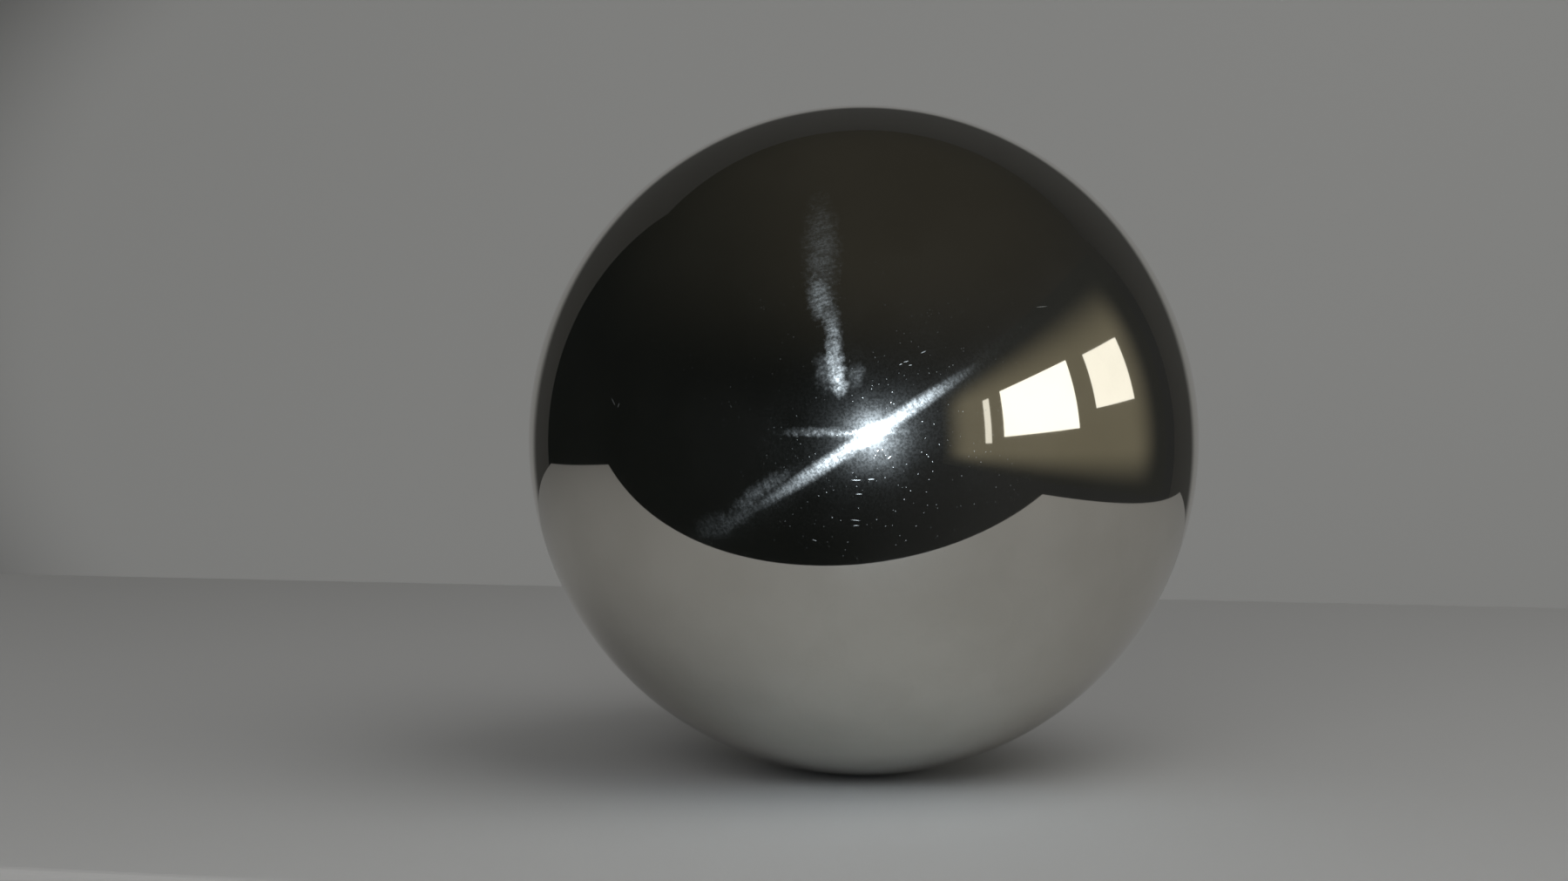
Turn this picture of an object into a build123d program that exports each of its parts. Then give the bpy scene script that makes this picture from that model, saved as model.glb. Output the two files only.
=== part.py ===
from build123d import *
import os

# A mirror-polished steel ball: round all over, with no seam, flat, bore or stud showing.
# It is sealed and can't be seen into, so it is drawn as one filled solid.
# Lengths are in millimetres. The origin is the centre of the ball, and +Z is up as it stands.

# Driving dimension
ball_diameter = 200.0


def steel_ball():
    # Its centre is at the origin, so its lowest point, where a seat carries it, is one radius below.
    ball = Sphere(radius=ball_diameter / 2)
    ball.label = "steel_ball"
    return ball


pieces = [steel_ball()]

os.makedirs("parts", exist_ok=True)
for piece in pieces:
    export_step(piece, f"parts/{piece.label}.step")
    size = piece.bounding_box().size
    print(f"{piece.label}: {size.X:.2f} x {size.Y:.2f} x {size.Z:.2f} mm, {piece.volume / 1000:.1f} cm3")
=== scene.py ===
import math

import bpy
from mathutils import Matrix, Vector


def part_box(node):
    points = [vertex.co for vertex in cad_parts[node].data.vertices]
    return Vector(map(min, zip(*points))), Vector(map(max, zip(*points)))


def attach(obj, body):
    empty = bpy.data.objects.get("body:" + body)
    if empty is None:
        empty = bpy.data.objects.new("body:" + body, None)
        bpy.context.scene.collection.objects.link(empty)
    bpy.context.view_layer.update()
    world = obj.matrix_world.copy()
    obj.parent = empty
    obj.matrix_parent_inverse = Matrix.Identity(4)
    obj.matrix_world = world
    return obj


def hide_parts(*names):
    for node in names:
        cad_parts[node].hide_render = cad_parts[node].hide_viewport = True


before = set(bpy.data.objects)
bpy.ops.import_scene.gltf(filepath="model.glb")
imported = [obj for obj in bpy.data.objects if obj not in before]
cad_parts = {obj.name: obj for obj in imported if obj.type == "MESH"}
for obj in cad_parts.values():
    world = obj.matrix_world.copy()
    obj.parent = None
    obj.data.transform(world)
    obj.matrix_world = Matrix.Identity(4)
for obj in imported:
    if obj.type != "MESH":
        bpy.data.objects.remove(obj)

scene = bpy.context.scene
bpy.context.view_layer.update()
ballLow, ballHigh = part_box("steel_ball")
ballRadius = (ballHigh.z - ballLow.z) / 2
print("frame loaded, ball radius", round(ballRadius, 4), "m")

# The camera looks at the ball from the front, a little left of it and just above its middle.
# focal, ballSpot and ballOutline are in pixels of the 1800 x 1011 photo, pitch in degrees down.
camera = dict(imageWidth=1800, imageHeight=1011, sensorWidth=36.0, focal=3000.0,
              ballSpot=(990.2, 505.1), ballOutline=384.5, pitch=2.605)


def cameraAxes():
    pitch = math.radians(camera["pitch"])
    forward = Vector((0, math.cos(pitch), -math.sin(pitch)))
    up = Vector((0, math.sin(pitch), math.cos(pitch)))
    return Vector((1, 0, 0)), forward, up


def pixelRay(x, y):
    right, forward, up = cameraAxes()
    across = x - camera["imageWidth"] / 2
    above = camera["imageHeight"] / 2 - y
    return (forward * camera["focal"] + right * across + up * above).normalized()


def cameraPlace():
    away = ballRadius * math.hypot(1, camera["focal"] / camera["ballOutline"])
    return pixelRay(*camera["ballSpot"]) * -away


def spotOnBall(x, y):
    # the point of the ball that a pixel of the photo shows
    start, ray = cameraPlace(), pixelRay(x, y)
    half = start.dot(ray)
    return start + ray * (-half - math.sqrt(half * half - start.dot(start) + ballRadius ** 2))


def placeCamera():
    data = bpy.data.cameras.new("camera")
    data.sensor_width = camera["sensorWidth"]
    data.lens = camera["focal"] / camera["imageWidth"] * camera["sensorWidth"]
    taker = bpy.data.objects.new("camera", data)
    scene.collection.objects.link(taker)
    taker.location = cameraPlace()
    taker.rotation_euler = cameraAxes()[1].to_track_quat("-Z", "Y").to_euler()
    scene.camera = taker


placeCamera()
print("camera placed at", [round(v, 4) for v in cameraPlace()])


# Short ways to write shader nodes
def newTree(owner):
    owner.use_nodes = True
    owner.node_tree.nodes.clear()
    return owner.node_tree


def addNode(tree, kind, inputs, **settings):
    node = tree.nodes.new(kind)
    for key, value in settings.items():
        setattr(node, key, value)
    for key, value in inputs.items():
        if isinstance(value, bpy.types.NodeSocket):
            tree.links.new(value, node.inputs[key])
        else:
            node.inputs[key].default_value = value
    return node


def calc(tree, operation, first, second, third=0.0):
    inputs = {0: first, 1: second}
    if operation == "MULTIPLY_ADD":
        inputs[2] = third
    return addNode(tree, "ShaderNodeMath", inputs, operation=operation).outputs[0]


def times(tree, *values):
    total = values[0]
    for value in values[1:]:
        total = calc(tree, "MULTIPLY", total, value)
    return total


def between(tree, value, low, high):
    # a straight run from low to high, as the value goes from 0 to 1
    return calc(tree, "MULTIPLY_ADD", value, high - low, low)


def ease(tree, value, low, high, toLow=0.0, toHigh=1.0):
    inputs = {"Value": value, "From Min": low, "From Max": high, "To Min": toLow, "To Max": toHigh}
    return addNode(tree, "ShaderNodeMapRange", inputs, interpolation_type="SMOOTHSTEP").outputs[0]


def vectorCalc(tree, operation, first, second):
    return addNode(tree, "ShaderNodeVectorMath", {0: first, 1: second}, operation=operation).outputs[0]


def lengthOf(tree, vector):
    return addNode(tree, "ShaderNodeVectorMath", {0: vector}, operation="LENGTH").outputs["Value"]


def laidOut(tree, place, turn, size, spot=(0, 0, 0)):
    # the place as seen from a spot, turned about the Y axis and measured in sizes
    return addNode(tree, "ShaderNodeMapping", {
        "Vector": place, "Location": spot, "Rotation": (0, -math.radians(turn), 0), "Scale": size},
        vector_type="TEXTURE").outputs[0]


def blendColours(tree, share, first, second):
    inputs = {"Factor": share, 6: first, 7: second}
    return addNode(tree, "ShaderNodeMix", inputs, data_type="RGBA").outputs[2]


def mixShaders(tree, share, first, second):
    return addNode(tree, "ShaderNodeMixShader", {0: share, 1: first, 2: second}).outputs[0]


def addPiece(name, mesh, material):
    piece = bpy.data.objects.new(name, mesh)
    scene.collection.objects.link(piece)
    mesh.materials.append(material)
    return piece


# The ball: six square patches pushed out onto the sphere, so that no pole shows in the metal
ball = dict(cuts=128, mapMargin=0.004)
patches = [  # out of the ball, along the patch, up the patch
    ((0, -1, 0), (1, 0, 0), (0, 0, 1)),
    ((1, 0, 0), (0, 1, 0), (0, 0, 1)),
    ((0, 1, 0), (-1, 0, 0), (0, 0, 1)),
    ((-1, 0, 0), (0, -1, 0), (0, 0, 1)),
    ((0, 0, 1), (1, 0, 0), (0, 1, 0)),
    ((0, 0, -1), (1, 0, 0), (0, -1, 0)),
]


def buildBall():
    cuts, margin = ball["cuts"], ball["mapMargin"]
    steps = [math.tan(math.radians(90 * i / cuts - 45)) for i in range(cuts + 1)]
    places, known, faces, mapSpots = [], {}, [], []

    def pointAt(direction):
        # patches share the points along their borders
        key = tuple(round(v, 6) for v in direction)
        if key not in known:
            known[key] = len(places)
            places.append(direction * ballRadius)
        return known[key]

    for number, (out, along, up) in enumerate(patches):
        out, along, up = Vector(out), Vector(along), Vector(up)
        grid = [[pointAt((out + along * a + up * b).normalized()) for a in steps] for b in steps]
        for j in range(cuts):
            for i in range(cuts):
                corners = ((i, j), (i + 1, j), (i + 1, j + 1), (i, j + 1))
                faces.append([grid[b][a] for a, b in corners])
                for a, b in corners:
                    u = margin + (1 - 2 * margin) * a / cuts
                    v = margin + (1 - 2 * margin) * b / cuts
                    mapSpots.append(((number % 3 + u) / 3, (number // 3 + v) / 2))

    mesh = bpy.data.meshes.new("polishedBall")
    mesh.from_pydata(places, [], faces)
    for loop, spot in zip(mesh.uv_layers.new(name="OFBake").data, mapSpots):
        loop.uv = spot
    mesh.shade_smooth()
    return mesh


# Polished steel: a mirror with a faint haze, fine hairs left by polishing, rubbed patches and tiny nicks.
# Sizes are in metres, turns in degrees up from +X as seen from the front, and spots in pixels of the photo.
# A share is how much of the mirror a dull finish takes, and rest is how much of a mark stays elsewhere.
steel = dict(
    colour=(0.645, 0.625, 0.575, 1), clouded=(0.615, 0.595, 0.545, 1), cloudSize=0.02,
    mirror=(0.026, 0.036), wipeSize=0.03,
    waveSize=0.045, waveLimits=(0.2, 0.8), waveHeight=0.000012,
    grain=0.0006, grainReach=(0.6, 1.4),
    flashCore=(1001.5, 498.5),
    haze=dict(share=0.0135, reach=(0.75, 1.25), rough=(0.22, 0.28)),
    hairs=dict(spot=(991, 505), turn=33, long=0.0405, wide=0.0028, soft=0.45, rest=0.05, share=0.029,
               across=0.0007, along=0.004, reach=(0.7, 1.25), rough=0.255, wander=0.08, wanderSize=0.014),
    rubs=dict(across=0.0007, turns=8.0, reach=(0.6, 1.3), rough=0.40, ragged=0.0013, raggedBy=0.12,
              dulling=1.5),
    specks=dict(spot=(1040, 540), turn=90, long=0.0380, soft=0.3, rest=0.25, share=0.40,
                spacing=0.0014, radius=0.00016, core=0.6, clusters=0.006, clusterLimits=(0.40, 0.62)),
    scratches=dict(wide=0.00013, soft=0.5, share=0.32),
    nicks=dict(rough=0.55, dulling=0.5),
)
# each noise pattern has its own seed
seeds = dict(cloud=1.0, wipe=2.0, wave=3.0, grain=4.0, hairs=5.0, strokes=6.0, ragged=7.0, clusters=8.0)
# Places where short strokes rubbed the polish dull: long and wide are half lengths
rubbedPatches = [
    dict(spot=(963, 439), turn=98, long=0.0050, wide=0.0026, share=0.044),
    dict(spot=(960, 423), turn=100, long=0.0085, wide=0.0032, share=0.031),
    dict(spot=(958, 402), turn=95, long=0.0100, wide=0.0030, share=0.025),
    dict(spot=(955, 368), turn=95, long=0.0075, wide=0.0030, share=0.015),
    dict(spot=(941, 342), turn=95, long=0.0085, wide=0.0042, share=0.019),
    dict(spot=(943, 285), turn=91, long=0.0230, wide=0.0062, share=0.008),
    dict(spot=(950, 428), turn=100, long=0.0066, wide=0.0044, share=0.009),
    dict(spot=(982, 431), turn=60, long=0.0044, wide=0.0034, share=0.009),
    dict(spot=(979, 497), turn=2, long=0.0180, wide=0.0013, share=0.028),
    dict(spot=(937, 495), turn=2, long=0.0120, wide=0.0016, share=0.009),
    dict(spot=(874, 562), turn=35, long=0.0130, wide=0.0028, share=0.009),
    dict(spot=(850, 590), turn=35, long=0.0110, wide=0.0034, share=0.0040),
    dict(spot=(822, 604), turn=15, long=0.0090, wide=0.0046, share=0.0034),
]
# Single short scratches: long is a half length
scratchMarks = [
    dict(spot=(983, 551), turn=0, long=0.0016),
    dict(spot=(1000, 550), turn=3, long=0.0011),
    dict(spot=(986, 567), turn=0, long=0.0010),
    dict(spot=(982, 597), turn=-5, long=0.0014),
    dict(spot=(983, 603), turn=0, long=0.0009),
    dict(spot=(935, 620), turn=-20, long=0.0007),
    dict(spot=(1021, 525), turn=40, long=0.0007),
    dict(spot=(1060, 404), turn=25, long=0.0009),
    dict(spot=(1040, 415), turn=15, long=0.0008),
    dict(spot=(1034, 418), turn=25, long=0.0005),
    dict(spot=(1045, 419), turn=10, long=0.0005),
    dict(spot=(1196, 352), turn=4, long=0.0022),
    dict(spot=(704, 461), turn=-62, long=0.0018),
    dict(spot=(710, 465), turn=70, long=0.0009),
]


def noiseAt(tree, place, size, seed, limits=(0.35, 0.65), reach=(0.0, 1.0)):
    # noise that eases from one end of its reach to the other between its limits
    noise = addNode(tree, "ShaderNodeTexNoise", {
        "Vector": place, "W": seed, "Scale": 1 / size, "Detail": 2.0}, noise_dimensions="4D")
    return ease(tree, noise.outputs[0], *limits, *reach)


def ovalMark(tree, place, mark, wide, soft, ragged=0.0):
    # 1 in the middle of an oval on the front of the ball, and 0 outside it
    size = (mark["long"], mark["long"], wide)
    off = lengthOf(tree, laidOut(tree, place, mark["turn"], size, tuple(spotOnBall(*mark["spot"]))))
    return ease(tree, calc(tree, "ADD", off, ragged), soft, 1.0, 1.0, 0.0)


def hairParts(tree, place, grain):
    # hairs run round a leaning axis, so a lamp's light streaks along it
    hairs = steel["hairs"]
    turn, wander = math.radians(hairs["turn"]), hairs["wander"]
    hairPlace = laidOut(tree, place, hairs["turn"], (hairs["across"], hairs["along"], hairs["along"]))
    oval = ovalMark(tree, place, hairs, hairs["wide"], hairs["soft"])
    band = between(tree, oval, hairs["rest"], 1.0)
    lines = noiseAt(tree, hairPlace, 1.0, seeds["hairs"], reach=hairs["reach"])
    share = times(tree, lines, band, grain, hairs["share"])
    drift = addNode(tree, "ShaderNodeTexNoise", {"Vector": place, "Scale": 1 / hairs["wanderSize"]})
    middle = (math.cos(turn) - wander, -wander, math.sin(turn) - wander)
    spread = addNode(tree, "ShaderNodeVectorMath", {
        0: drift.outputs["Color"], 1: (wander * 2,) * 3, 2: middle}, operation="MULTIPLY_ADD")
    return share, spread.outputs[0]


def rubParts(tree, place, grain):
    # short strokes that lie across the line from the middle of the front
    rubs = steel["rubs"]
    away = vectorCalc(tree, "SUBTRACT", place, tuple(spotOnBall(*steel["flashCore"])))
    outward = vectorCalc(tree, "NORMALIZE", away, (0, 0, 0))
    ring = calc(tree, "DIVIDE", lengthOf(tree, away), rubs["across"])
    around = addNode(tree, "ShaderNodeVectorMath", {0: outward, 3: rubs["turns"]}, operation="SCALE")
    rise = addNode(tree, "ShaderNodeCombineXYZ", {1: ring})
    strokePlace = vectorCalc(tree, "ADD", around.outputs[0], rise.outputs[0])
    strokes = noiseAt(tree, strokePlace, 1.0, seeds["strokes"], reach=rubs["reach"])
    raggedReach = (-rubs["raggedBy"], rubs["raggedBy"])
    ragged = noiseAt(tree, place, rubs["ragged"], seeds["ragged"], reach=raggedReach)
    total = 0.0
    for patch in rubbedPatches:
        oval = ovalMark(tree, place, patch, patch["wide"], 0.0, ragged)
        total = calc(tree, "MULTIPLY_ADD", oval, patch["share"], total)
    return times(tree, total, strokes, grain), outward


def nickShare(tree, place):
    # tiny specks in clusters, and a few short scratches
    specks, single = steel["specks"], steel["scratches"]
    cells = addNode(tree, "ShaderNodeTexVoronoi", {"Vector": place, "Scale": 1 / specks["spacing"]})
    edge = specks["radius"] / specks["spacing"]
    share = ease(tree, cells.outputs["Distance"], edge * specks["core"], edge, specks["share"], 0.0)
    oval = ovalMark(tree, place, specks, specks["long"], specks["soft"])
    worn = between(tree, oval, specks["rest"], 1.0)
    clusters = noiseAt(tree, place, specks["clusters"], seeds["clusters"], specks["clusterLimits"])
    share = times(tree, share, clusters, worn)
    for scratch in scratchMarks:
        oval = ovalMark(tree, place, scratch, single["wide"], single["soft"])
        share = calc(tree, "MULTIPLY_ADD", oval, single["share"], share)
    return share


def steelShader(tree, colour, normal, rough, **extra):
    inputs = {"Base Color": colour, "Metallic": 1.0, "Roughness": rough, "Normal": normal}
    inputs.update(extra)
    return addNode(tree, "ShaderNodeBsdfPrincipled", inputs).outputs[0]


def polishedSteel():
    material = bpy.data.materials.new("polishedSteel")
    tree = newTree(material)
    place = addNode(tree, "ShaderNodeTexCoord", {}).outputs["Object"]
    clouds = noiseAt(tree, place, steel["cloudSize"], seeds["cloud"])
    colour = blendColours(tree, clouds, steel["colour"], steel["clouded"])
    wiped = noiseAt(tree, place, steel["wipeSize"], seeds["wipe"])
    grain = noiseAt(tree, place, steel["grain"], seeds["grain"], reach=steel["grainReach"])
    waveReach = (0.0, steel["waveHeight"])
    wave = noiseAt(tree, place, steel["waveSize"], seeds["wave"], steel["waveLimits"], waveReach)
    wavy = addNode(tree, "ShaderNodeBump", {"Height": wave, "Distance": 1.0}).outputs[0]

    haze, hairs, rubs, nicks = steel["haze"], steel["hairs"], steel["rubs"], steel["nicks"]
    hazeShare = times(tree, between(tree, wiped, *haze["reach"]), grain, haze["share"])
    mist = steelShader(tree, colour, wavy, ease(tree, wiped, 0.0, 1.0, *haze["rough"]))
    hairShare, hairSpread = hairParts(tree, place, grain)
    hairLines = steelShader(tree, colour, wavy, hairs["rough"], Anisotropic=1.0, Tangent=hairSpread)
    rubShare, rubSpread = rubParts(tree, place, grain)
    rubLines = steelShader(tree, colour, wavy, rubs["rough"], Anisotropic=1.0, Tangent=rubSpread)
    nicked = nickShare(tree, place)
    nickSpots = steelShader(tree, colour, wavy, nicks["rough"])

    # each dull finish takes its own small share of the mirror
    total, dulled = hazeShare, mist
    for share, shader in ((hairShare, hairLines), (rubShare, rubLines), (nicked, nickSpots)):
        total = calc(tree, "ADD", total, share)
        dulled = mixShaders(tree, calc(tree, "DIVIDE", share, total), dulled, shader)
    # and the mirror itself is a little duller under rubs and nicks
    mirrorRough = ease(tree, wiped, 0.0, 1.0, *steel["mirror"])
    mirrorRough = calc(tree, "MULTIPLY_ADD", rubShare, rubs["dulling"], mirrorRough)
    mirrorRough = calc(tree, "MULTIPLY_ADD", nicked, nicks["dulling"], mirrorRough)
    mirror = steelShader(tree, colour, wavy, mirrorRough)
    finish = mixShaders(tree, total, mirror, dulled)
    addNode(tree, "ShaderNodeOutputMaterial", {"Surface": finish})
    return material


ballPiece = addPiece("polished_ball", buildBall(), polishedSteel())
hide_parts("steel_ball")
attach(ballPiece, "root")
print("ball made,", len(ballPiece.data.polygons), "faces")


# Table top, turned a little, so that its front edge and its ends show in the metal
table = dict(colour=(0.34, 0.338, 0.33, 1), front=-0.190, turn=-12.0, left=-1.05, right=0.375,
             depth=0.70, thick=0.03, edge=0.004, edgeCuts=4)
# The backdrop's paint fades to a darker grey away from its middle, a painted shade that stands for less
# light falling on its borders. The fade is an oval, and tall is its height as a share of its width.
backdrop = dict(colour=(0.362, 0.362, 0.353, 1), shadedEdgeColour=(0.070, 0.070, 0.067, 1), behind=1.2,
                left=-1.3, right=1.7, low=-0.85, high=1.5,
                middle=(0.06, 0.03), tall=0.625, fade=(0.64, 0.90))
mattLook = {"Roughness": 0.8, "Specular IOR Level": 0.1}


def mattPaint(name, colour, shadedEdgeColour=None):
    material = bpy.data.materials.new(name)
    tree = newTree(material)
    if shadedEdgeColour:
        place = addNode(tree, "ShaderNodeTexCoord", {}).outputs["Object"]
        middleX, middleZ = backdrop["middle"]
        off = laidOut(tree, place, 0, (1, 1, backdrop["tall"]), (middleX, backdrop["behind"], middleZ))
        # the darker grey towards the borders is painted shade
        colour = blendColours(tree, ease(tree, lengthOf(tree, off), *backdrop["fade"]), colour, shadedEdgeColour)
    shader = addNode(tree, "ShaderNodeBsdfPrincipled", {"Base Color": colour, **mattLook})
    addNode(tree, "ShaderNodeOutputMaterial", {"Surface": shader.outputs[0]})
    return material


def buildTable():
    # drawn square, with its origin on the front edge below the ball's middle, then turned and set in place
    x0, x1, y1 = table["left"], table["right"], table["depth"]
    top = -ballRadius
    corners = [(x0, 0), (x1, 0), (x1, y1), (x0, y1)]
    places = [(x, y, z) for z in (top - table["thick"], top) for x, y in corners]
    faces = [(3, 2, 1, 0), (4, 5, 6, 7), (0, 1, 5, 4), (1, 2, 6, 5), (2, 3, 7, 6), (3, 0, 4, 7)]
    mesh = bpy.data.meshes.new("tableTop")
    mesh.from_pydata(places, [], faces)
    turned = Matrix.Rotation(math.radians(table["turn"]), 4, "Z")
    mesh.transform(Matrix.Translation((0, table["front"], 0)) @ turned)
    return mesh


def buildBackdrop():
    x0, x1, y = backdrop["left"], backdrop["right"], backdrop["behind"]
    z0, z1 = backdrop["low"], backdrop["high"]
    mesh = bpy.data.meshes.new("backdrop")
    mesh.from_pydata([(x0, y, z0), (x1, y, z0), (x1, y, z1), (x0, y, z1)], [], [(0, 1, 2, 3)])
    return mesh


tableTop = addPiece("tableTop", buildTable(), mattPaint("tablePaint", table["colour"]))
rounded = tableTop.modifiers.new("roundedEdge", "BEVEL")
rounded.width = table["edge"]
rounded.segments = table["edgeCuts"]
backdropPaint = mattPaint("backdropPaint", backdrop["colour"], backdrop["shadedEdgeColour"])
backdropSheet = addPiece("backdrop", buildBackdrop(), backdropPaint)

# A warm grey screen at the right, which carries the soft boxes and fades out at its borders. It glows with
# painted light for the camera and the metal, standing for a lit wall beside the soft boxes, and gives no
# light of its own to the table.
screen = dict(away=2.02, y=(-4.5, 1.1), z=(-0.42, 1.6),
              fadeLeft=(-4.5, -3.0), fadeRight=(0.25, 0.9), fadeLow=(-0.40, -0.05), fadeHigh=(0.8, 1.4),
              colour=(0.185, 0.168, 0.12, 1), shade=(0.027, 0.028, 0.026, 1))


def glowingScreen():
    material = bpy.data.materials.new("glowingScreen")
    tree = newTree(material)
    place = addNode(tree, "ShaderNodeTexCoord", {}).outputs["Object"]
    parts = addNode(tree, "ShaderNodeSeparateXYZ", {0: place}).outputs
    share = times(tree,
                  ease(tree, parts["Y"], *screen["fadeLeft"]),
                  ease(tree, parts["Z"], *screen["fadeLow"]),
                  ease(tree, parts["Y"], *screen["fadeRight"], 1.0, 0.0),
                  ease(tree, parts["Z"], *screen["fadeHigh"], 1.0, 0.0))
    # painted light: the screen's colour glows as emission, fading to a dim shade at its borders
    glow = addNode(tree, "ShaderNodeEmission", {
        "Color": blendColours(tree, share, screen["shade"], screen["colour"])})
    addNode(tree, "ShaderNodeOutputMaterial", {"Surface": glow.outputs[0]})
    return material


def buildScreen():
    x, (y0, y1), (z0, z1) = screen["away"], screen["y"], screen["z"]
    mesh = bpy.data.meshes.new("sideScreen")
    mesh.from_pydata([(x, y0, z0), (x, y1, z0), (x, y1, z1), (x, y0, z1)], [], [(0, 1, 2, 3)])
    sheet = addPiece("sideScreen", mesh, glowingScreen())
    sheet.visible_diffuse = False
    sheet.visible_shadow = False
    return sheet


buildScreen()
print("stage set")

# Lamps: soft boxes at the right, a wide key light, a softer one at the front for the ball's own shadow,
# and a small bright lamp beside the camera, which only the metal shows
softBoxes = [
    dict(name="softBoxNear", y=(-2.03, -0.61), z=(0.14, 0.83), glow=1.75),
    dict(name="softBoxFar", y=(-0.31, 0.38), z=(0.29, 0.80), glow=1.35),
    dict(name="softBoxSliver", y=(-2.55, -2.36), z=(0.06, 0.80), glow=1.0),
]
softBoxLook = dict(colour=(1.0, 0.98, 0.9), beforeScreen=0.01)
wideLamps = [
    dict(name="keySoft", place=(0.62, -0.55, 1.15), size=1.2, power=8.0),
    dict(name="frontSoft", place=(-0.25, -0.95, 0.38), size=0.5, power=3.0),
]
flash = dict(right=0.041, up=0.024, size=(0.012, 0.005), power=11.8, colour=(0.71, 0.844, 1.0))


def addLamp(name, place, target, size, power, colour=(1, 1, 1)):
    data = bpy.data.lights.new(name, "AREA")
    data.shape = "RECTANGLE"
    data.size, data.size_y = size
    data.energy = power
    data.color = colour
    lamp = bpy.data.objects.new(name, data)
    scene.collection.objects.link(lamp)
    lamp.location = place
    lamp.rotation_euler = (Vector(target) - Vector(place)).to_track_quat("-Z", "Y").to_euler()
    lamp.visible_camera = False
    return lamp


for box in softBoxes:
    (y0, y1), (z0, z1) = box["y"], box["z"]
    place = Vector((screen["away"] - softBoxLook["beforeScreen"], (y0 + y1) / 2, (z0 + z1) / 2))
    power = box["glow"] * math.pi * (y1 - y0) * (z1 - z0)
    addLamp(box["name"], place, place + Vector((-1, 0, 0)), (y1 - y0, z1 - z0), power, softBoxLook["colour"])

for wide in wideLamps:
    lamp = addLamp(wide["name"], wide["place"], (0, 0, 0), (wide["size"],) * 2, wide["power"])
    lamp.visible_glossy = False

flashPlace = cameraPlace() + Vector((flash["right"], 0, flash["up"]))
flashLamp = addLamp("flash", flashPlace, (0, 0, 0), flash["size"], flash["power"], flash["colour"])
flashLamp.visible_diffuse = False

# The world: even white light on matt things, and a dim warm studio for what the camera and the metal see.
# Its level part and its ceiling each blend from left to right, and rise is where one gives way to the other.
studio = dict(fill=0.38,
              left=(0.0065, 0.0075, 0.007, 1), right=(0.027, 0.028, 0.028, 1), levelBlend=(-0.4, 1.0),
              highLeft=(0.019, 0.019, 0.0155, 1), high=(0.035, 0.033, 0.0265, 1), highBlend=(-0.7, 0.0),
              rise=(0.3, 0.95))


def buildWorld():
    world = bpy.data.worlds.new("studio")
    scene.world = world
    tree = newTree(world)
    facing = addNode(tree, "ShaderNodeTexCoord", {}).outputs["Generated"]
    parts = addNode(tree, "ShaderNodeSeparateXYZ", {0: facing}).outputs
    levelShare = ease(tree, parts["X"], *studio["levelBlend"])
    highShare = ease(tree, parts["X"], *studio["highBlend"])
    level = blendColours(tree, levelShare, studio["left"], studio["right"])
    ceiling = blendColours(tree, highShare, studio["highLeft"], studio["high"])
    colour = blendColours(tree, ease(tree, parts["Z"], *studio["rise"]), level, ceiling)
    seen = addNode(tree, "ShaderNodeBackground", {"Color": colour})
    fill = addNode(tree, "ShaderNodeBackground", {"Color": (1, 1, 1, 1), "Strength": studio["fill"]})
    path = addNode(tree, "ShaderNodeLightPath", {}).outputs
    direct = calc(tree, "MAXIMUM", path["Is Camera Ray"], path["Is Glossy Ray"])
    direct = calc(tree, "MAXIMUM", direct, path["Is Transmission Ray"])
    mixed = mixShaders(tree, direct, fill.outputs[0], seen.outputs[0])
    addNode(tree, "ShaderNodeOutputWorld", {"Surface": mixed})


buildWorld()
scene.view_settings.view_transform = "Standard"
print("lamps and world set")
